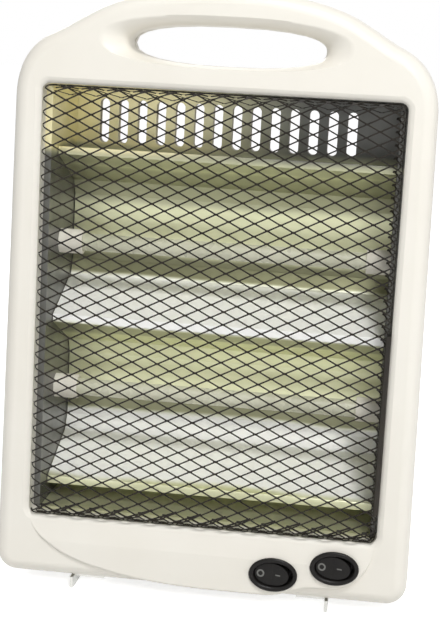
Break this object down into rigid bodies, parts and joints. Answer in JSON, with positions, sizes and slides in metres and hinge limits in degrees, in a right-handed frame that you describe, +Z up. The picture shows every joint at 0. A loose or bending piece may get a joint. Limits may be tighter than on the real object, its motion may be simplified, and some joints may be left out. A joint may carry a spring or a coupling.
{
  "type": "quartz tube heater",
  "caption": "Upright portable quartz heater: white case with a hand hole in its handle, bent expanded steel guard, trough reflector, quartz tubes, oval rocker switches and plate feet.",
  "frame": {"origin": "on the floor, under the middle of the overall box in width and depth", "axes": "+Z up along the case's height, -Y out of the guarded front, +X to the viewer's right"},
  "size_m": [0.268, 0.1172, 0.3875],
  "materials": {
    "white_plastic": "satin warm white moulding",
    "black_steel": "black enamel on expanded steel",
    "bright_sheet": "bright annealed aluminium-coated sheet",
    "zinc_steel": "zinc plated",
    "milky_quartz": "milky quartz, matt outside",
    "heat_wire": "dull resistance wire",
    "ceramic": "unglazed steatite",
    "brass": "plain brass",
    "black_plastic": "fine satin black"
  },
  "bodies": {
    "case": {"front_frame": "white_plastic", "rear_cover": "white_plastic", "guard_mesh": "black_steel", "reflector": "bright_sheet", "liner": "bright_sheet", "side_shield_left": "bright_sheet", "foot_left": "zinc_steel", "foot_screw_left_front": "zinc_steel", "foot_screw_left_back": "zinc_steel", "side_shield_right": "bright_sheet", "foot_right": "zinc_steel", "foot_screw_right_front": "zinc_steel", "foot_screw_right_back": "zinc_steel", "quartz_tube_upper": "milky_quartz", "heating_element_upper": "heat_wire", "tube_cap_upper_left": "ceramic", "tube_terminal_upper_left": "brass", "tube_cap_upper_right": "ceramic", "tube_terminal_upper_right": "brass", "quartz_tube_lower": "milky_quartz", "heating_element_lower": "heat_wire", "tube_cap_lower_left": "ceramic", "tube_terminal_lower_left": "brass", "tube_cap_lower_right": "ceramic", "tube_terminal_lower_right": "brass", "switch_body_left": "black_plastic", "rocker_pin_left": "zinc_steel", "switch_tab_left_in": "brass", "switch_tab_left_out": "brass", "switch_body_right": "black_plastic", "rocker_pin_right": "zinc_steel", "switch_tab_right_in": "brass", "switch_tab_right_out": "brass", "tipover_housing": "black_plastic", "tipover_pin": "zinc_steel", "thermal_cutout": "black_plastic", "terminal_block": "ceramic", "cable_gland": "black_plastic", "gland_nut": "black_plastic", "case_screw_left_top": "zinc_steel", "case_screw_left_middle": "zinc_steel", "case_screw_left_low": "zinc_steel", "liner_screw_left_top": "zinc_steel", "liner_screw_left_low": "zinc_steel", "case_screw_right_top": "zinc_steel", "case_screw_right_middle": "zinc_steel", "case_screw_right_low": "zinc_steel", "liner_screw_right_top": "zinc_steel", "liner_screw_right_low": "zinc_steel"},
    "rocker_left": {"rocker_left": "black_plastic"},
    "rocker_right": {"rocker_right": "black_plastic"},
    "pendulum": {"tipover_pendulum": "zinc_steel"}
  },
  "joints": [
    {"name": "rocker_left_hinge", "type": "hinge", "parent": "case", "child": "rocker_left", "pos_m": [0.0485, -0.05232, 0.025], "axis": [0, 0, 1], "range_deg": [0, 20]},
    {"name": "rocker_right_hinge", "type": "hinge", "parent": "case", "child": "rocker_right", "pos_m": [0.087, -0.05232, 0.0328], "axis": [0, 0, 1], "range_deg": [0, 20]},
    {"name": "pendulum_swing", "type": "hinge", "parent": "case", "child": "pendulum", "pos_m": [-0.04, 0.00858, 0.0374], "axis": [1, 0, 0], "range_deg": [-22, 22]}
  ]
}
